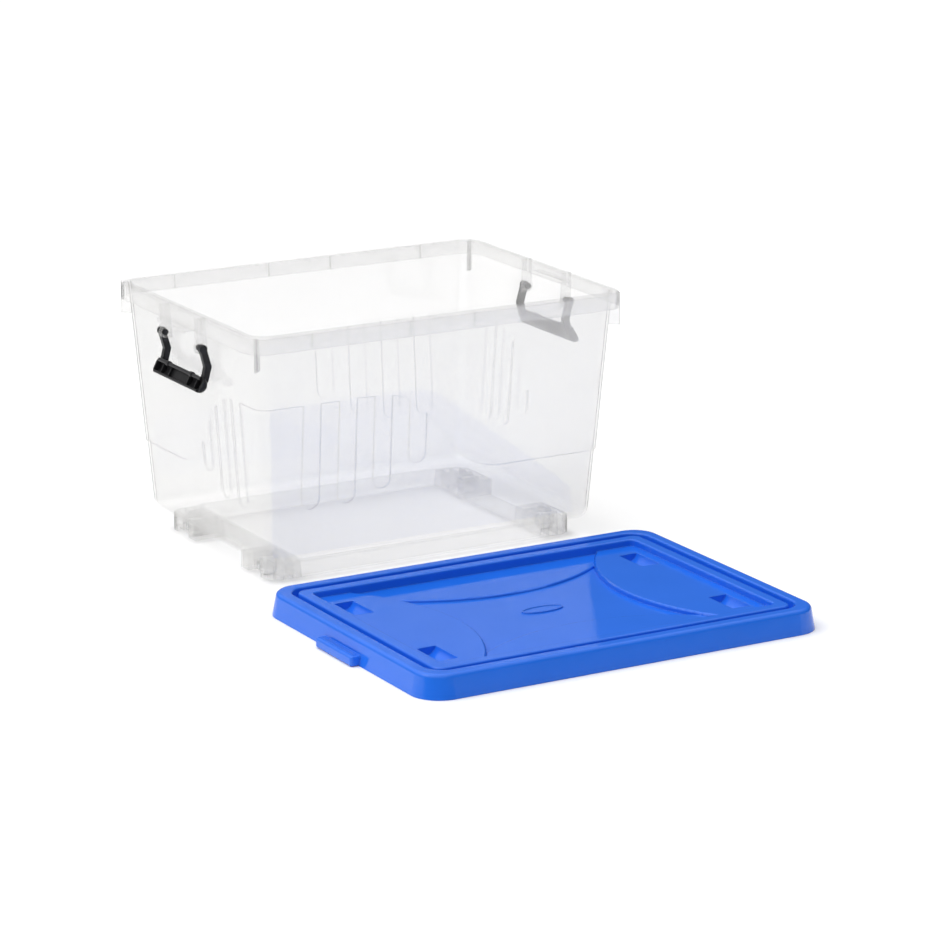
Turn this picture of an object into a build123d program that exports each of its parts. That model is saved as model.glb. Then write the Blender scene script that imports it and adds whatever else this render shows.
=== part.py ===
from build123d import *
import os

# Clear wheeled storage tub with a lift-off lid that lies on the ground beside it.
#
# Units are millimetres, +Z is up and Z = 0 is the ground.
# The tub's long side runs along X. The lid lies in front of the tub, on its -Y side.
# The origin is on the ground, in the middle of the whole set.

os.makedirs("parts", exist_ok=True)

# Places of the two halves of the set on the ground
tub_x = 4.5
tub_y = 246.0
lid_x = -1.5
lid_y = -238.0

# Tub shell
rim_height = 358.0
wall_half_x = 281.0  # outside of the lower wall, carried up to the rim's height
wall_half_y = 204.0
wall_slope = 0.0693  # inward lean of the walls per millimetre of depth
wall_corner = 22.0
wall = 2.4
step = 1.6  # how far the upper wall stands out from the lower one
floor_under = 27.0
floor = 2.2
bottom_radius = 17.0

# Sunken middle of the floor
well_half_x = 197.0
well_half_y = 161.0
well_under = 2.8
well_draft = 2.5
well_corner = 8.0

# Flowing step line in the walls: it drops from high_line to low_line along each wall
high_line = 254.0
low_line = 129.0
long_fall = (-95.0, 108.0)
short_fall = (-125.0, 70.0)
long_fingers = ((-194.0, 106.0), (-139.0, 107.0), (-84.5, 121.0), (-30.0, 150.0))
short_fingers = ((-125.0, 104.0), (-75.5, 105.0), (-25.5, 132.0))
finger_width = 27.0
zone_edge = 150.0  # the two pairs of walls meet on flat stretches of the line, past this

# Rim
rim_half_x = 293.0
rim_half_y = 216.0
rim_corner = 33.0
rim_thick = 2.2
rim_edge_radius = 3.0
skirt_depth = 23.0
gusset_places = (-200.0, -50.0, 50.0, 200.0)
gusset_thick = 2.2
corner_rib_foot = 311.0
corner_rib_thick = 3.0

# Ears that carry the handle pivots, and the ledge between them
pivot_x = 291.2
pivot_z = 315.0
ear_y = 54.5
ear_thick = 2.2
ear_reach = 298.0
ear_foot = 306.5
pin_radius = 3.0
pin_clearance = 0.05
ledge_half = 44.0
ledge_reach = 308.0
ledge_top = 339.5
ledge_thick = 2.6
ledge_lip = 5.5

# Feet, one at each corner, with a wheel unit clipped into each
foot_inner_x = 190.0
foot_outer_x = 242.0
foot_inner_y = 72.0
foot_outer_y = 158.0
foot_corner = 24.0
foot_low = 2.6
foot_wall = 1.8
wheel_x = 222.0
wheel_y = 111.0
wheel_radius = 12.0
wheel_width = 19.0
window = (93.0, 130.0)  # open stretch of the end face in front of each wheel
comb_x = (204.0, 218.0, 231.0)

# Wheel unit
cage_plate = 2.0
cage_gap = 0.8  # between the wheel's faces and the side plates
cage_top = 1.4
cage_end_gap = 1.6
cage_end = 1.6
axle_radius = 2.0
axle_clearance = 0.05
axle_proud = 0.8
wheel_recess = 2.0
cage_drop = 5.0
tab_off = 10.0
tab_width = 9.0
tab_stem = 2.0
tab_slot = 4.4

# Handle
arm_y = 63.0
arm_width = 7.6
arm_depth = 9.2
knee = (-7.2, -25.5)  # towards the wall and down, from the pivot
arm_end = (-2.5, -43.0)
knuckle_radius = 5.8
channel = (6.5, -49.0)  # the grip channel's axis, from the pivot
channel_radius = 10.6
channel_wall = 2.4
grip_half = 73.0
grip_end_radius = 6.5
grip_rib_places = (-52.0, -28.0, 28.0, 52.0)
grip_rod_radius = 2.7
collar_radius = 3.9
collar_places = (-36.0, 36.0)
collar_length = 7.0
pin_head_radius = 4.4
pin_head = 2.0
pin_head_gap = 0.35
rod = (3.5, -40.8)
mouth_angle = 28.0  # the channel's mouth faces outward, tipped up by this much
mouth_back = 0.5
grip_rib_thick = 2.0
lip_bead = 1.8

# Lid
lid_half_x = 301.0
lid_half_y = 224.0
lid_flare = 6.0
lid_height = 32.0
lid_corner = 41.0
lid_thick = 2.2
lid_edge_radius = 6.0
bead_round = 2.8
plate_round = 2.5
groove_outer = (277.5, 200.5)
groove_outer_corner = 27.0
bead_outer = (268.0, 190.5)
bead_outer_corner = 13.0
bead_inner = (251.5, 174.0)
bead_inner_corner = 8.0
groove_level = 19.0
bead_level = 31.2
lens_level = 22.0
arc_level = 18.6
centre_level = 15.0
lens_apex = 127.0
lens_radius = 267.0
arc_apex = 77.0
arc_radius = 275.0
pocket_size = (28.0, 58.0)
pocket_place = (222.0, 111.0)
pocket_depth = 11.0
pocket_round = 14.4
badge_size = (62.0, 25.0)
badge_raise = 1.8
badge_frame = 2.6  # raised border round the badge's sunken middle
badge_sink = 0.9
tab_half = 48.5
tab_reach = 313.0
tab_top = 14.0
tab_wall = 2.0
tab_round = 3.5

tub_at = Plane((tub_x, tub_y, 0))
lid_at = Plane((lid_x, lid_y, 0))


def wall_outline(level, grow):
    """The wall's plan at a height, moved outward by grow."""
    inset = (rim_height - level) * wall_slope - grow
    RectangleRounded(
        2 * (wall_half_x - inset), 2 * (wall_half_y - inset), wall_corner - inset / 8
    )


def wall_solid(low, high, grow):
    """A solid filled out to the leaning walls between two heights."""
    with BuildPart() as solid:
        for level in (low, high):
            with BuildSketch(tub_at.offset(level)):
                wall_outline(level, grow)
        loft(ruled=True)
    return solid


def draped_profile(fall, fingers, half_length):
    """The part of a wall above its step line, drawn with the wall's length along X."""
    start, end = fall
    top = rim_height + 10
    radius = finger_width / 2
    with BuildSketch() as profile:
        with BuildLine():
            Line((-half_length, high_line), (start, high_line))
            Spline((start, high_line), (end, low_line), tangents=((1, 0), (1, 0)))
            Polyline(
                (end, low_line),
                (half_length, low_line),
                (half_length, top),
                (-half_length, top),
                (-half_length, high_line),
            )
        make_face()
        for place, low in fingers:
            with Locations((place, low + radius)):
                Circle(radius)
                Rectangle(finger_width, top - low - radius, align=(Align.CENTER, Align.MIN))
    return profile.sketch


long_profile = draped_profile(long_fall, long_fingers, wall_half_x + 40)
short_profile = draped_profile(short_fall, short_fingers, zone_edge)

# Space above the step line, all round the tub. It looks the same after half a turn.
with BuildPart() as above_line:
    for turn in (1, -1):
        long_side = Plane(tub_at.origin, x_dir=(turn, 0, 0), z_dir=(0, -turn, 0))
        with BuildSketch(long_side.offset(zone_edge)):
            add(long_profile)
        extrude(amount=zone_edge)
        short_side = Plane(tub_at.origin, x_dir=(0, turn, 0), z_dir=(turn, 0, 0))
        with BuildSketch(short_side.offset(-wall_half_x - 40)):
            add(short_profile)
        extrude(amount=wall_half_x)

proud_outer = wall_solid(floor_under + 40, rim_height, step)
proud_inner = wall_solid(floor_under + 40, rim_height + 5, step - wall)
wall_outer = wall_solid(floor_under, rim_height, 0)
wall_inner = wall_solid(floor_under + floor, rim_height + 5, -wall)

with BuildPart() as proud_wall:
    add(proud_outer.part)
    add(above_line.part, mode=Mode.INTERSECT)

with BuildPart() as proud_hollow:
    add(proud_inner.part)
    add(above_line.part, mode=Mode.INTERSECT)

with BuildPart() as hollow:
    add(wall_inner.part)
    fillet(hollow.faces().sort_by(Axis.Z)[0].edges(), bottom_radius - wall)
    with BuildSketch(tub_at.offset(floor_under + floor + 5)):
        RectangleRounded(2 * (well_half_x - floor), 2 * (well_half_y - floor), well_corner)
    with BuildSketch(tub_at.offset(well_under + floor)):
        RectangleRounded(
            2 * (well_half_x - floor - well_draft),
            2 * (well_half_y - floor - well_draft),
            well_corner - 2,
        )
    loft(ruled=True)


def corner_places():
    """The four corners as signs of X and Y."""
    return [(sx, sy) for sx in (-1, 1) for sy in (-1, 1)]


def foot_wall_sketch(grow):
    """A foot's outline, moved inward by grow, with its outer corner rounded like the tub's."""
    reach_x = foot_outer_x - foot_inner_x - 2 * grow
    reach_y = foot_outer_y - foot_inner_y - 2 * grow
    with Locations(((foot_outer_x + foot_inner_x) / 2, (foot_outer_y + foot_inner_y) / 2)):
        Rectangle(reach_x, reach_y)


# One foot's moulded walls and comb ribs, at the +X, +Y corner
with BuildPart() as foot:
    with BuildSketch(Plane.XY.offset(foot_low)) as foot_plan:
        foot_wall_sketch(0)
        fillet(foot_plan.vertices().group_by(Axis.X)[-1].sort_by(Axis.Y)[-1], foot_corner)
    extrude(amount=floor_under + 6 - foot_low)
    with BuildSketch(Plane.XY.offset(foot_low - 1)) as foot_core:
        foot_wall_sketch(foot_wall)
        fillet(
            foot_core.vertices().group_by(Axis.X)[-1].sort_by(Axis.Y)[-1],
            foot_corner - foot_wall,
        )
    extrude(amount=floor_under + 10, mode=Mode.SUBTRACT)
    with BuildSketch(Plane.XY.offset(foot_low - 1)):
        with Locations((foot_outer_x, (window[0] + window[1]) / 2)):
            Rectangle(6 * foot_wall, window[1] - window[0])
    extrude(amount=floor_under - foot_low - 1, mode=Mode.SUBTRACT)
    with BuildSketch(Plane.XY.offset(foot_low)):
        for place in comb_x:
            with Locations((place, foot_outer_y)):
                Rectangle(foot_wall, foot_outer_y - window[1], align=(Align.CENTER, Align.MAX))
        with Locations((foot_outer_x, window[0])):
            Rectangle(foot_outer_x - foot_inner_x, foot_wall, align=(Align.MAX, Align.MAX))
    extrude(amount=floor_under + 2 - foot_low)
    with BuildSketch(Plane.XY.offset(foot_low - 1)):
        with Locations((foot_outer_x, foot_outer_y)):
            Rectangle(foot_corner, foot_corner, align=(Align.MAX, Align.MAX))
            with Locations((-foot_corner, -foot_corner)):
                Circle(foot_corner, mode=Mode.SUBTRACT)
    extrude(amount=floor_under + 10, mode=Mode.SUBTRACT)

ear_plane = Plane(tub_at.origin, x_dir=(1, 0, 0), z_dir=(0, -1, 0))

with BuildPart() as tub:
    add(wall_outer.part)
    fillet(tub.faces().sort_by(Axis.Z)[0].edges(), bottom_radius)
    add(proud_wall.part)
    # Sunken middle
    with BuildSketch(tub_at.offset(floor_under + 4)):
        RectangleRounded(2 * well_half_x, 2 * well_half_y, well_corner + 2)
    with BuildSketch(tub_at.offset(well_under)):
        RectangleRounded(
            2 * (well_half_x - well_draft), 2 * (well_half_y - well_draft), well_corner
        )
    loft(ruled=True)
    # Feet
    for sx, sy in corner_places():
        quarter = foot.part
        if sx < 0:
            quarter = quarter.mirror(Plane.YZ)
        if sy < 0:
            quarter = quarter.mirror(Plane.XZ)
        add(Pos(tub_x, tub_y, 0) * quarter)
    # Rim band with its skirt
    with BuildSketch(tub_at.offset(rim_height - skirt_depth)):
        RectangleRounded(2 * rim_half_x, 2 * rim_half_y, rim_corner)
        RectangleRounded(
            2 * (rim_half_x - rim_thick),
            2 * (rim_half_y - rim_thick),
            rim_corner - rim_thick,
            mode=Mode.SUBTRACT,
        )
    extrude(amount=skirt_depth)
    with BuildSketch(tub_at.offset(rim_height - rim_thick)):
        RectangleRounded(2 * rim_half_x, 2 * rim_half_y, rim_corner)
    extrude(amount=rim_thick)
    fillet(tub.faces().sort_by(Axis.Z)[-1].edges(), rim_edge_radius)
    # Gussets under the rim's long sides
    gusset_reach = rim_half_y - 1 - (wall_half_y - 6)
    with BuildSketch(tub_at.offset(rim_height - skirt_depth + 1)):
        for place in gusset_places:
            for side in (-1, 1):
                with Locations((place, side * (rim_half_y - 1 - gusset_reach / 2))):
                    Rectangle(gusset_thick, gusset_reach)
    extrude(amount=skirt_depth - 2)
    # Diagonal ribs at the corners, longer than the skirt
    with BuildSketch(tub_at.offset(corner_rib_foot)):
        for sx, sy in corner_places():
            with Locations(
                Location((sx * (wall_half_x - 6), sy * (wall_half_y - 6)), 45 * sx * sy)
            ):
                Rectangle(27, corner_rib_thick)
    extrude(amount=rim_height - corner_rib_foot - 1)
    # Handle ears
    for side in (-1, 1):
        for end in (-1, 1):
            with BuildSketch(ear_plane.offset(side * ear_y - ear_thick / 2)):
                with Locations((end * pivot_x, pivot_z)):
                    Circle(pivot_z - ear_foot)
                with Locations((end * (ear_reach + wall_half_x - 8) / 2, pivot_z)):
                    Rectangle(
                        ear_reach - wall_half_x + 8,
                        rim_height - rim_edge_radius - pivot_z,
                        align=(Align.CENTER, Align.MIN),
                    )
                with Locations((end * (pivot_x + wall_half_x - 8) / 2, ear_foot)):
                    Rectangle(
                        pivot_x - wall_half_x + 8,
                        pivot_z - ear_foot,
                        align=(Align.CENTER, Align.MIN),
                    )
            extrude(amount=ear_thick)
    # Ledge on the skirt that the lid's tab drops over
    for end in (-1, 1):
        with BuildSketch(tub_at.offset(ledge_top - ledge_thick)):
            with Locations((end * (ledge_reach + rim_half_x - 1) / 2, 0)):
                RectangleRounded(ledge_reach - rim_half_x + 1, 2 * ledge_half, 3)
        extrude(amount=ledge_thick)
        with BuildSketch(tub_at.offset(ledge_top - ledge_lip)):
            with Locations((end * (ledge_reach - 1.1), 0)):
                Rectangle(2.2, 2 * (ledge_half - 3))
        extrude(amount=ledge_lip)
    # Inside
    add(hollow.part, mode=Mode.SUBTRACT)
    add(proud_hollow.part, mode=Mode.SUBTRACT)
    # Pivot holes
    with BuildSketch(ear_plane.offset(-ear_y - ear_thick)):
        for end in (-1, 1):
            with Locations((end * pivot_x, pivot_z)):
                Circle(pin_radius + pin_clearance)
    extrude(amount=2 * (ear_y + ear_thick), mode=Mode.SUBTRACT)

# Snap slots for the wheel units' tabs, cut through the raised ends of the floor
with BuildPart() as slots:
    for sx, sy in corner_places():
        with BuildSketch(tub_at.offset(floor_under - 2)):
            with Locations((sx * wheel_x, sy * wheel_y)):
                with GridLocations(0, 2 * tab_off, 1, 2):
                    Rectangle(tab_width + 0.8, tab_slot)
        extrude(amount=floor + 4)

with BuildPart() as tub_shell:
    add(tub.part)
    add(slots.part, mode=Mode.SUBTRACT)

tub_shell.part.label = "tub"
export_step(tub_shell.part, "parts/tub.step")

# Lid


def lid_outline(half, corner, grow):
    """A rounded rectangle of the lid's plan, moved outward by grow."""
    RectangleRounded(2 * (half[0] + grow), 2 * (half[1] + grow), corner + grow)


def lid_skin(grow):
    """The lid's filled outer form, moved inward by grow."""
    top = lid_height - grow
    lean = lid_flare * top / lid_height
    with BuildPart() as form:
        with BuildSketch(lid_at):
            lid_outline((lid_half_x - grow, lid_half_y - grow), lid_corner - grow, 0)
        with BuildSketch(lid_at.offset(top)):
            lid_outline(
                (lid_half_x - grow - lean, lid_half_y - grow - lean),
                lid_corner - grow - lean,
                0,
            )
        loft(ruled=True)
        fillet(form.faces().sort_by(Axis.Z)[-1].edges(), lid_edge_radius - grow)
    return form


def lid_relief(grow):
    """The air above the lid's moulded top, moved outward by grow."""
    air = lid_height + 10
    with BuildPart() as relief:
        # Groove round the bead
        with BuildSketch(lid_at.offset(groove_level - grow)):
            lid_outline(groove_outer, groove_outer_corner, grow)
            with BuildSketch(mode=Mode.SUBTRACT):
                lid_outline(bead_outer, bead_outer_corner, -grow)
        extrude(amount=air)
        # Panel inside the bead
        with BuildSketch(lid_at.offset(lens_level - grow)):
            lid_outline(bead_inner, bead_inner_corner, grow)
        extrude(amount=air)
        with BuildSketch(lid_at.offset(bead_level - grow)):
            lid_outline(groove_outer, groove_outer_corner, 0)
        extrude(amount=air)
        # Long arcs at the front and back
        with BuildSketch(lid_at.offset(arc_level - grow)):
            lid_outline(bead_inner, bead_inner_corner, grow)
            with Locations((-lens_apex - lens_radius, 0), (lens_apex + lens_radius, 0)):
                Circle(lens_radius - grow, mode=Mode.SUBTRACT)
        extrude(amount=lens_level - arc_level + 1)
        # Centre panel
        with BuildSketch(lid_at.offset(centre_level - grow)):
            lid_outline(bead_inner, bead_inner_corner, grow)
            with Locations((-lens_apex - lens_radius, 0), (lens_apex + lens_radius, 0)):
                Circle(lens_radius - grow, mode=Mode.SUBTRACT)
            with Locations((0, -arc_apex - arc_radius), (0, arc_apex + arc_radius)):
                Circle(arc_radius - grow, mode=Mode.SUBTRACT)
        extrude(amount=arc_level - centre_level + 1)
        # Wheel pockets: round-bottomed troughs that run along Y
        for end in (-1, 1):
            trough = Plane(
                (lid_x, lid_y + end * pocket_place[1] + pocket_size[1] / 2 + grow, 0),
                x_dir=(1, 0, 0),
                z_dir=(0, -1, 0),
            )
            with BuildSketch(trough):
                for side in (-1, 1):
                    with Locations(
                        (side * pocket_place[0], lens_level - pocket_depth + pocket_round)
                    ):
                        Circle(pocket_round + grow)
            extrude(amount=pocket_size[1] + 2 * grow)
    return relief


skin_outer = lid_skin(0)
skin_inner = lid_skin(lid_thick)
relief_top = lid_relief(0)
relief_below = lid_relief(lid_thick)

with BuildPart() as tab_blocks:
    for end in (-1, 1):
        side = Plane(lid_at.origin, x_dir=(0, end, 0), z_dir=(end, 0, 0))
        with BuildSketch(side.offset(lid_half_x - 8)) as tab_front:
            Rectangle(2 * tab_half, tab_top, align=(Align.CENTER, Align.MIN))
            fillet(tab_front.vertices().group_by(Axis.Z)[-1], tab_round)
        extrude(amount=tab_reach - lid_half_x + 8)
    tab_ends = tab_blocks.faces().filter_by(Axis.X).group_by(Axis.X)
    fillet((tab_ends[0] + tab_ends[-1]).edges().group_by(Axis.Z)[-1], tab_round)

with BuildPart() as tab_hollows:
    for end in (-1, 1):
        side = Plane(lid_at.origin, x_dir=(0, end, 0), z_dir=(end, 0, 0))
        with BuildSketch(side.offset(lid_half_x - 11)):
            Rectangle(2 * (tab_half - tab_wall), tab_top - tab_wall, align=(Align.CENTER, Align.MIN))
        extrude(amount=tab_reach - lid_half_x + 11 - tab_wall)

with BuildPart() as cavity:
    add(skin_inner.part)
    add(relief_below.part, mode=Mode.SUBTRACT)
    add(tab_hollows.part)

with BuildPart() as lid:
    add(skin_outer.part)
    add(relief_top.part, mode=Mode.SUBTRACT)
    add(tab_blocks.part)
    # Rounded edges of the bead, the outer rim and the panel's plates
    level_faces = lid.faces().filter_by(Axis.Z)
    bead_top = level_faces.filter_by_position(Axis.Z, bead_level - 0.1, bead_level + 0.1)
    fillet(bead_top.edges(), bead_round)
    rim_top = lid.faces().filter_by(Axis.Z).sort_by(Axis.Z)[-1]
    fillet(rim_top.inner_wires()[0].edges(), bead_round)
    for radius in (lens_radius, arc_radius):
        plate_edges = lid.edges().filter_by(GeomType.CIRCLE).filter_by(
            lambda edge: abs(edge.radius - radius) < 0.01
        )
        high_edges = plate_edges.group_by(Axis.Z)[-1]
        fillet(high_edges, plate_round)
    # Oval boss in the middle of the centre panel
    with BuildSketch(lid_at.offset(centre_level - 1)):
        Ellipse(badge_size[0] / 2, badge_size[1] / 2)
    extrude(amount=1 + badge_raise)
    with BuildSketch(lid_at.offset(centre_level + badge_raise)):
        Ellipse(badge_size[0] / 2 - badge_frame, badge_size[1] / 2 - badge_frame)
    extrude(amount=-badge_sink, mode=Mode.SUBTRACT)
    # Low ridges along each tab
    for end in (-1, 1):
        with BuildSketch(lid_at.offset(tab_top - 1)):
            with Locations((end * (lid_half_x + 3.2), 0)):
                with GridLocations(3.4, 0, 2, 1):
                    Rectangle(1.4, 2 * tab_half - 12)
        extrude(amount=1.6)
    add(cavity.part, mode=Mode.SUBTRACT)

lid.part.label = "lid"
export_step(lid.part, "parts/lid.step")

# Handle, drawn at the +X end with the pivot as its origin, X outward

swing_plane = Plane((0, 0, 0), x_dir=(1, 0, 0), z_dir=(0, -1, 0))


with BuildPart() as grip:
    with BuildSketch(swing_plane.offset(-grip_half)):
        with Locations(channel):
            Circle(channel_radius)
    extrude(amount=2 * grip_half)
    grip_ends = grip.faces().filter_by(Axis.Y)
    fillet(grip_ends.edges(), grip_end_radius)

with BuildPart() as grip_air:
    with BuildSketch(swing_plane.offset(-grip_half + channel_wall + 1)):
        with Locations(channel):
            Circle(channel_radius - channel_wall)
        with Locations(Location(channel, mouth_angle)):
            Rectangle(
                2 * channel_radius,
                2 * (channel_radius - channel_wall),
                align=(Align.MIN, Align.CENTER),
            )
    extrude(amount=2 * (grip_half - channel_wall - 1))
    with BuildSketch(swing_plane.offset(-grip_half - 2)):
        with Locations(Location(channel, mouth_angle)):
            with Locations((mouth_back, 0)):
                Rectangle(3 * channel_radius, 3 * channel_radius, align=(Align.MIN, Align.CENTER))
    extrude(amount=2 * grip_half + 4)

with BuildPart() as handle:
    add(grip.part)
    # Arms
    for side in (-1, 1):
        with BuildSketch(swing_plane.offset(side * arm_y - arm_width / 2)):
            Circle(knuckle_radius)
            with BuildLine():
                Polyline((0, 0), knee, arm_end, (channel[0] - 1, channel[1] - 3))
            trace(line_width=arm_depth)
        extrude(amount=arm_width)
    # The channel is open on its outer side
    add(grip_air.part, mode=Mode.SUBTRACT)
    # Bead along the outer lip
    with BuildSketch(swing_plane.offset(-grip_half + grip_end_radius)):
        with Locations(Location(channel, mouth_angle)):
            with Locations((mouth_back, -channel_radius + lip_bead)):
                Circle(lip_bead)
    extrude(amount=2 * (grip_half - grip_end_radius))
    # Cross ribs inside the channel
    for place in grip_rib_places:
        with BuildSketch(swing_plane.offset(-place - grip_rib_thick / 2)):
            with Locations(channel):
                Circle(channel_radius - 1)
            with Locations(Location(channel, mouth_angle)):
                with Locations((mouth_back - 1.5, 0)):
                    Rectangle(
                        3 * channel_radius,
                        3 * channel_radius,
                        align=(Align.MIN, Align.CENTER),
                        mode=Mode.SUBTRACT,
                    )
        extrude(amount=grip_rib_thick)
    # Floor plate between the inner ribs
    with BuildSketch(swing_plane.offset(-grip_rib_places[2])):
        with Locations(channel):
            Circle(channel_radius - 1)
        with Locations(Location(channel, mouth_angle)):
            with Locations((mouth_back - 5.5, 0)):
                Rectangle(
                    3 * channel_radius,
                    3 * channel_radius,
                    align=(Align.MIN, Align.CENTER),
                    mode=Mode.SUBTRACT,
                )
    extrude(amount=2 * grip_rib_places[2])
    # Rod along the inner lip, with two collars
    with BuildSketch(swing_plane.offset(-grip_half + 8)):
        with Locations(rod):
            Circle(grip_rod_radius)
    extrude(amount=2 * grip_half - 16)
    for place in collar_places:
        with BuildSketch(swing_plane.offset(-place - collar_length / 2)):
            with Locations(rod):
                Circle(collar_radius)
        extrude(amount=collar_length)
    # Pivot pins through the ears, with a head on the inner side of each
    for side in (-1, 1):
        inner = ear_y - ear_thick / 2 - pin_head_gap - pin_head
        outer = arm_y
        near = min(side * inner, side * outer)
        with BuildSketch(swing_plane.offset(near)):
            Circle(pin_radius)
        extrude(amount=outer - inner)
        near = min(side * inner, side * (inner + pin_head))
        with BuildSketch(swing_plane.offset(near)):
            Circle(pin_head_radius)
        extrude(amount=pin_head)

handle_right = Pos(tub_x + pivot_x, tub_y, pivot_z) * handle.part
handle_left = Pos(tub_x - pivot_x, tub_y, pivot_z) * handle.part.mirror(Plane.YZ)
handle_right.label = "handle_right"
handle_left.label = "handle_left"
export_step(handle_right, "parts/handle_right.step")
export_step(handle_left, "parts/handle_left.step")

# Wheel unit, drawn round the axle's middle at the +X, +Y corner

axle_plane = Plane((0, 0, wheel_radius), x_dir=(0, 1, 0), z_dir=(1, 0, 0))
half_cage = wheel_width / 2 + cage_gap + cage_plate
half_cage_y = wheel_radius + cage_end_gap + cage_end
cage_level = floor_under - wheel_radius

with BuildPart() as wheel:
    with BuildSketch(axle_plane.offset(-wheel_width / 2)):
        Circle(wheel_radius)
    extrude(amount=wheel_width)
    wheel_faces = wheel.faces().filter_by(Axis.X)
    chamfer(wheel_faces.edges(), 1.0)
    for end in (-1, 1):
        with BuildSketch(axle_plane.offset(end * wheel_width / 2)):
            Circle(wheel_radius - 2.6)
            Circle(axle_radius + 2.4, mode=Mode.SUBTRACT)
        extrude(amount=-end * wheel_recess, mode=Mode.SUBTRACT)
    with BuildSketch(axle_plane.offset(-wheel_width / 2)):
        Circle(axle_radius + axle_clearance)
    extrude(amount=wheel_width, mode=Mode.SUBTRACT)

with BuildPart() as axle:
    with BuildSketch(axle_plane.offset(-half_cage - axle_proud)):
        Circle(axle_radius)
    extrude(amount=2 * (half_cage + axle_proud))
    axle_ends = axle.faces().filter_by(Axis.X)
    chamfer(axle_ends.edges(), 0.4)

with BuildPart() as cage:
    with BuildSketch(axle_plane.offset(-half_cage)):
        with Locations((0, cage_level)):
            Rectangle(2 * half_cage_y, cage_level + cage_drop, align=(Align.CENTER, Align.MAX))
    extrude(amount=2 * half_cage)
    lower = cage.edges().filter_by(Axis.X).group_by(Axis.Z)[0]
    fillet(lower, 7)
    with BuildSketch(axle_plane.offset(-half_cage + cage_plate)):
        with Locations((0, cage_level - cage_top)):
            Rectangle(
                2 * (half_cage_y - cage_end),
                cage_level - cage_top + cage_drop + 2,
                align=(Align.CENTER, Align.MAX),
            )
    extrude(amount=2 * (half_cage - cage_plate), mode=Mode.SUBTRACT)
    # Upright ribs on the plate that faces outward
    with BuildSketch(axle_plane.offset(half_cage)):
        with Locations((0, cage_level)):
            with GridLocations(7.5, 0, 4, 1):
                Rectangle(1.4, cage_level + cage_drop - 2, align=(Align.CENTER, Align.MAX))
    extrude(amount=1.6)
    # Snap tabs that reach up through the tub's floor
    for end in (-1, 1):
        with BuildSketch(Plane.XY.offset(floor_under - 1)):
            with Locations((0, end * tab_off)):
                Rectangle(tab_width, tab_stem)
        extrude(amount=floor + 4.4)
        with BuildSketch(Plane.XY.offset(floor_under + floor + 0.15)):
            with Locations((0, end * (tab_off + tab_stem / 2 - 0.2))):
                Rectangle(tab_width, 1.8)
        extrude(amount=2.4)
    with BuildSketch(axle_plane.offset(-half_cage)):
        Circle(axle_radius)
    extrude(amount=2 * half_cage, mode=Mode.SUBTRACT)

for sx, sy in corner_places():
    place = Pos(tub_x + sx * wheel_x, tub_y + sy * wheel_y, 0)
    name = ("back_" if sy > 0 else "front_") + ("right" if sx > 0 else "left")
    for piece, kind in ((wheel, "wheel"), (axle, "axle"), (cage, "housing")):
        solid = piece.part if sx > 0 else piece.part.mirror(Plane.YZ)
        placed = place * solid
        placed.label = f"{kind}_{name}"
        export_step(placed, f"parts/{kind}_{name}.step")
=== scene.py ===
"""Studio scene for the wheeled storage tub and the lid that lies beside it."""

import math

import bpy
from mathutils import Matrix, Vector

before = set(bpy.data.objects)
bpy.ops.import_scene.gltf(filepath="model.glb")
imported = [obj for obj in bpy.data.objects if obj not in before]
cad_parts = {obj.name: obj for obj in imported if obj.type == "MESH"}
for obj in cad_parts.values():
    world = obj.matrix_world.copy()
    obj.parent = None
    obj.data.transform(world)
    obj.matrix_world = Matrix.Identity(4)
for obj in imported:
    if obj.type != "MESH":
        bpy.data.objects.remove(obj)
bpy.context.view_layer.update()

# Camera: the view's angle, reach and lens
AZIMUTH = -30.0
ELEVATION = 15.3
AIM = Vector((0.1125, 0.1552, 0.100))
REACH = 5.487
LENS = 149.5

# Width of the painted dark line along the clear plastic's edges, a painted shade standing in for the
# dark edges that refraction gives
EDGE_WIDTH = 0.0007

# Materials


def new_material(name):
    """A node material with an output and nothing else."""
    made = bpy.data.materials.new(name)
    made.use_nodes = True
    tree = made.node_tree
    tree.nodes.clear()
    out = tree.nodes.new("ShaderNodeOutputMaterial")
    return made, tree, out


def node(tree, kind, **sockets):
    """A node of a kind, with its sockets set by name (underscores stand for spaces)."""
    made = tree.nodes.new(kind)
    for key, value in sockets.items():
        made.inputs[key.replace("_", " ")].default_value = value
    return made


def object_noise(tree, scale, detail):
    """A noise texture in object space."""
    place = tree.nodes.new("ShaderNodeTexCoord")
    noise = tree.nodes.new("ShaderNodeTexNoise")
    noise.inputs["Scale"].default_value = scale
    noise.inputs["Detail"].default_value = detail
    tree.links.new(place.outputs["Object"], noise.inputs["Vector"])
    return noise


def ramp(tree, source, stops):
    """A colour ramp fed by a value. Each stop is a position and a grey or a colour."""
    made = tree.nodes.new("ShaderNodeValToRGB")
    points = made.color_ramp.elements
    while len(points) < len(stops):
        points.new(0.5)
    for point, (place, colour) in zip(points, stops):
        point.position = place
        point.color = (*colour, 1.0)
    tree.links.new(source, made.inputs["Fac"])
    return made


def edge_normal(tree, radius, bump_height, bump_strength):
    """Softly rounded edges, with a fine surface bump on top."""
    bevel = tree.nodes.new("ShaderNodeBevel")
    bevel.samples = 4
    bevel.inputs["Radius"].default_value = radius
    bump = tree.nodes.new("ShaderNodeBump")
    bump.inputs["Strength"].default_value = bump_strength
    bump.inputs["Distance"].default_value = 0.0003
    tree.links.new(bump_height, bump.inputs["Height"])
    tree.links.new(bevel.outputs["Normal"], bump.inputs["Normal"])
    return bump.outputs["Normal"]


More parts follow.
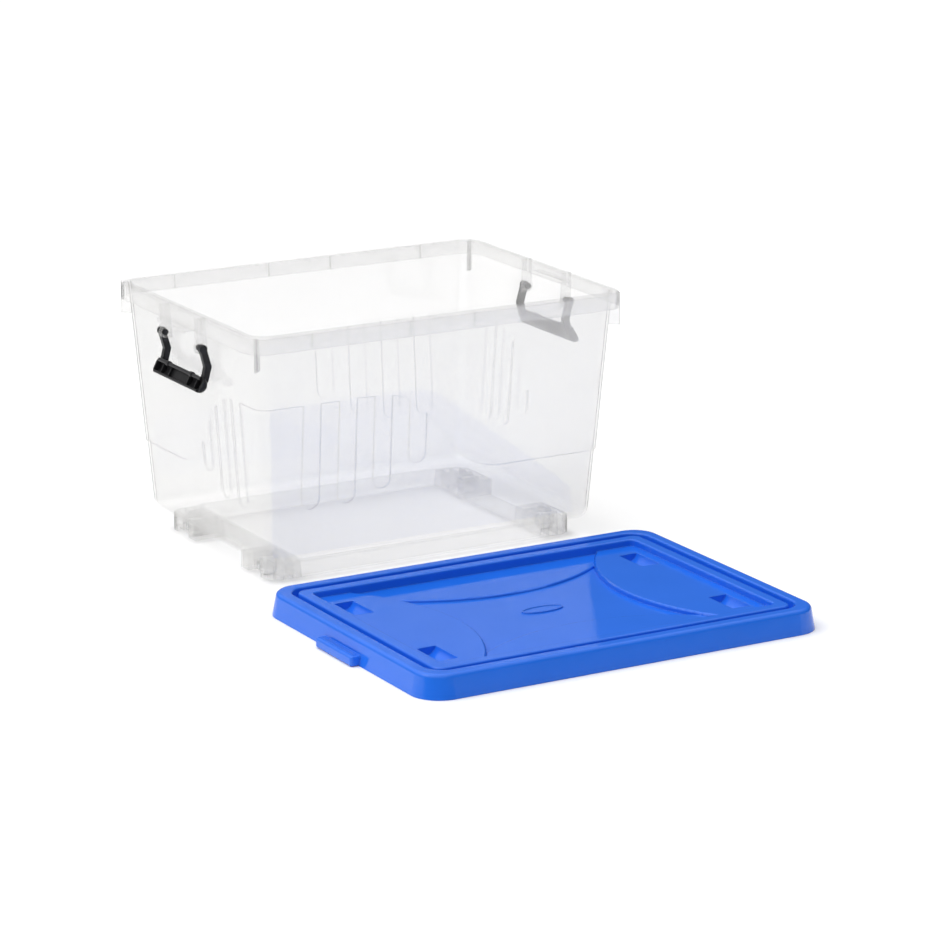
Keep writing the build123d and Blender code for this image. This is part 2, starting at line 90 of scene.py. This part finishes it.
def clear_plastic(name, haze, flat_haze, clear_tint, edge_on_shade, haze_colour, rough, edge_line_shade):
    """Clear moulded plastic: see-through, with painted shade where it turns edge-on and along its
    edges, a white haze and a gloss.
    """
    made, tree, out = new_material(name)
    links = tree.links
    # Sharp edges, found where the rounded normal leaves the face's own, get a painted dark line:
    # painted shade standing in for the dark edges that refraction gives
    bevel = tree.nodes.new("ShaderNodeBevel")
    bevel.samples = 4
    bevel.inputs["Radius"].default_value = EDGE_WIDTH
    shape = tree.nodes.new("ShaderNodeNewGeometry")
    agree = tree.nodes.new("ShaderNodeVectorMath")
    agree.operation = "DOT_PRODUCT"
    links.new(bevel.outputs["Normal"], agree.inputs[0])
    links.new(shape.outputs["Normal"], agree.inputs[1])
    line = ramp(
        tree,
        agree.outputs["Value"],
        [(0.8, (edge_line_shade,) * 3), (0.97, (1.0,) * 3)],
    )
    # See-through part, with painted shade where an upright wall turns edge-on, standing in for the
    # darkening that refraction gives
    edge = tree.nodes.new("ShaderNodeLayerWeight")
    edge.inputs["Blend"].default_value = 0.5
    parts = tree.nodes.new("ShaderNodeSeparateXYZ")
    links.new(shape.outputs["Normal"], parts.inputs["Vector"])
    flatness = tree.nodes.new("ShaderNodeMath")
    flatness.operation = "ABSOLUTE"
    links.new(parts.outputs["Z"], flatness.inputs[0])
    upright = tree.nodes.new("ShaderNodeMath")
    upright.operation = "SUBTRACT"
    upright.inputs[0].default_value = 1.0
    links.new(flatness.outputs["Value"], upright.inputs[1])
    turned = tree.nodes.new("ShaderNodeMath")
    turned.operation = "MULTIPLY"
    links.new(upright.outputs["Value"], turned.inputs[0])
    links.new(edge.outputs["Facing"], turned.inputs[1])
    see_tone = ramp(
        tree,
        turned.outputs["Value"],
        [(0.0, (0.998,) * 3), (0.08, clear_tint), (0.6, clear_tint), (0.88, edge_on_shade)],
    )
    both = tree.nodes.new("ShaderNodeVectorMath")
    both.operation = "MULTIPLY"
    links.new(see_tone.outputs["Color"], both.inputs[0])
    links.new(line.outputs["Color"], both.inputs[1])
    see = node(tree, "ShaderNodeBsdfTransparent")
    links.new(both.outputs["Vector"], see.inputs["Color"])
    # Haze
    white = node(tree, "ShaderNodeBsdfDiffuse", Roughness=0.4)
    glow = node(tree, "ShaderNodeBsdfTranslucent")
    cloud = object_noise(tree, 6.0, 3.0)
    tone = ramp(
        tree,
        cloud.outputs["Fac"],
        [(0.3, tuple(c * 0.98 for c in haze_colour)), (0.7, haze_colour)],
    )
    drawn = tree.nodes.new("ShaderNodeVectorMath")
    drawn.operation = "MULTIPLY"
    links.new(tone.outputs["Color"], drawn.inputs[0])
    links.new(both.outputs["Vector"], drawn.inputs[1])
    links.new(drawn.outputs["Vector"], white.inputs["Color"])
    links.new(drawn.outputs["Vector"], glow.inputs["Color"])
    milk = tree.nodes.new("ShaderNodeMixShader")
    milk.inputs["Fac"].default_value = 0.5
    links.new(white.outputs["BSDF"], milk.inputs[1])
    links.new(glow.outputs["BSDF"], milk.inputs[2])
    share = tree.nodes.new("ShaderNodeMapRange")
    share.inputs["From Min"].default_value = 0.1
    share.inputs["To Min"].default_value = flat_haze
    share.inputs["To Max"].default_value = haze
    links.new(upright.outputs["Value"], share.inputs["Value"])
    body = tree.nodes.new("ShaderNodeMixShader")
    links.new(share.outputs["Result"], body.inputs["Fac"])
    links.new(see.outputs["BSDF"], body.inputs[1])
    links.new(milk.outputs["Shader"], body.inputs[2])
    # Gloss
    gloss = node(tree, "ShaderNodeBsdfGlossy", Roughness=rough)
    gloss.inputs["Color"].default_value = (1.0, 1.0, 1.0, 1.0)
    links.new(bevel.outputs["Normal"], gloss.inputs["Normal"])
    shine = ramp(
        tree,
        edge.outputs["Facing"],
        [(0.0, (0.03,) * 3), (0.6, (0.04,) * 3), (0.85, (0.1,) * 3), (1.0, (0.6,) * 3)],
    )
    top = tree.nodes.new("ShaderNodeMixShader")
    links.new(shine.outputs["Color"], top.inputs["Fac"])
    links.new(body.outputs["Shader"], top.inputs[1])
    links.new(gloss.outputs["BSDF"], top.inputs[2])
    links.new(top.outputs["Shader"], out.inputs["Surface"])
    return made


def solid_plastic(name, dark, light, rough_low, rough_high, specular=0.3, round_edge=0.0009, bump=0.05):
    """Moulded opaque plastic with slight tone changes, fine grain and rounded edges."""
    made, tree, out = new_material(name)
    links = tree.links
    shader = tree.nodes.new("ShaderNodeBsdfPrincipled")
    shader.inputs["IOR"].default_value = 1.49
    shader.inputs["Specular IOR Level"].default_value = specular
    cloud = object_noise(tree, 9.0, 4.0)
    tone = ramp(tree, cloud.outputs["Fac"], [(0.3, dark), (0.7, light)])
    links.new(tone.outputs["Color"], shader.inputs["Base Color"])
    wear = object_noise(tree, 32.0, 5.0)
    rough = ramp(
        tree,
        wear.outputs["Fac"],
        [(0.35, (rough_low,) * 3), (0.7, (rough_high,) * 3)],
    )
    links.new(rough.outputs["Color"], shader.inputs["Roughness"])
    fine = object_noise(tree, 420.0, 2.0)
    links.new(edge_normal(tree, round_edge, fine.outputs["Fac"], bump), shader.inputs["Normal"])
    links.new(shader.outputs["BSDF"], out.inputs["Surface"])
    return made


materials = {
    "tub": clear_plastic(
        "clear_wall",
        haze=0.19,
        flat_haze=0.02,
        clear_tint=(0.985, 0.985, 0.985),
        # Painted shade: how dark an upright wall gets where it turns edge-on
        edge_on_shade=(0.28, 0.28, 0.28),
        haze_colour=(0.985, 0.975, 0.96),
        rough=0.06,
        # Tone of the painted shade line along the edges
        edge_line_shade=0.62,
    ),
    "housing": clear_plastic(
        "clear_housing",
        haze=0.14,
        flat_haze=0.08,
        clear_tint=(0.99, 0.99, 0.99),
        # Painted shade: how dark an upright wall gets where it turns edge-on
        edge_on_shade=(0.6, 0.6, 0.61),
        haze_colour=(0.96, 0.96, 0.96),
        rough=0.12,
        # Tone of the painted shade line along the edges
        edge_line_shade=0.8,
    ),
    "lid": solid_plastic(
        "blue_lid",
        (0.014, 0.15, 0.75),
        (0.018, 0.16, 0.79),
        0.06,
        0.1,
        specular=0.42,
        round_edge=0.0016,
        bump=0.015,
    ),
    "handle": solid_plastic("black_handle", (0.012, 0.012, 0.013), (0.02, 0.02, 0.022), 0.3, 0.42),
    "wheel": solid_plastic("white_wheel", (0.86, 0.86, 0.86), (0.91, 0.91, 0.91), 0.35, 0.5),
    "axle": solid_plastic("white_axle", (0.8, 0.8, 0.81), (0.86, 0.86, 0.87), 0.3, 0.45),
}

for name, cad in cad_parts.items():
    finish = materials[name.split("_")[0]]
    for slot in cad.material_slots:
        slot.material = finish


# Studio


def plane(name, size, place, turn):
    """A flat square card."""
    bpy.ops.mesh.primitive_plane_add(size=size, location=place, rotation=turn)
    made = bpy.context.object
    made.name = name
    return made


floor = plane("floor", 400.0, (0.0, 0.0, -0.0002), (0.0, 0.0, 0.0))
floor_look, floor_tree, floor_out = new_material("studio_floor")
floor_shader = floor_tree.nodes.new("ShaderNodeBsdfPrincipled")
floor_shader.inputs["Roughness"].default_value = 0.9
floor_shader.inputs["Specular IOR Level"].default_value = 0.0
floor_cloud = object_noise(floor_tree, 1.5, 2.0)
floor_tone = ramp(
    floor_tree, floor_cloud.outputs["Fac"], [(0.3, (0.985, 0.985, 0.985)), (0.7, (0.995, 0.995, 0.995))]
)
floor_tree.links.new(floor_tone.outputs["Color"], floor_shader.inputs["Base Color"])
floor_tree.links.new(floor_shader.outputs["BSDF"], floor_out.inputs["Surface"])
floor.data.materials.append(floor_look)

world = bpy.data.worlds.new("studio")
bpy.context.scene.world = world
world.use_nodes = True
sky = world.node_tree
sky.nodes["Background"].inputs["Color"].default_value = (1.0, 1.0, 1.0, 1.0)
sky_place = sky.nodes.new("ShaderNodeTexCoord")
sky_lean = sky.nodes.new("ShaderNodeVectorMath")
sky_lean.operation = "DOT_PRODUCT"
sky_lean.inputs[1].default_value = (-0.25, 0.1, 0.96)
sky_light = sky.nodes.new("ShaderNodeMapRange")
sky_light.inputs["From Min"].default_value = 0.3
sky_light.inputs["To Min"].default_value = 0.12
sky_light.inputs["To Max"].default_value = 2.0
sky.links.new(sky_place.outputs["Generated"], sky_lean.inputs[0])
sky.links.new(sky_lean.outputs["Value"], sky_light.inputs["Value"])
sky.links.new(sky_light.outputs["Result"], sky.nodes["Background"].inputs["Strength"])


def area_light(name, place, size, power):
    """A soft area light that faces the middle of the set."""
    lamp = bpy.data.lights.new(name, "AREA")
    lamp.shape = "DISK"
    lamp.size = size
    lamp.energy = power
    made = bpy.data.objects.new(name, lamp)
    made.location = place
    aim = Vector((0.0, 0.0, 0.15)) - Vector(place)
    made.rotation_euler = aim.to_track_quat("-Z", "Y").to_euler()
    bpy.context.collection.objects.link(made)


area_light("key", (-2.6, 0.4, 3.2), 2.2, 20.0)

# Camera

azimuth = math.radians(AZIMUTH)
elevation = math.radians(ELEVATION)
towards = Vector(
    (
        math.sin(azimuth) * math.cos(elevation),
        -math.cos(azimuth) * math.cos(elevation),
        math.sin(elevation),
    )
)
view = bpy.data.cameras.new("camera")
view.lens = LENS
view.sensor_width = 36.0
camera = bpy.data.objects.new("camera", view)
camera.location = AIM + towards * REACH
camera.rotation_euler = (-towards).to_track_quat("-Z", "Y").to_euler()
bpy.context.collection.objects.link(camera)
bpy.context.scene.camera = camera
bpy.context.scene.view_settings.view_transform = "Standard"
# A ray through a wheel housing and both walls crosses more clear faces than the default limit of 8
bpy.context.scene.cycles.transparent_max_bounces = 40
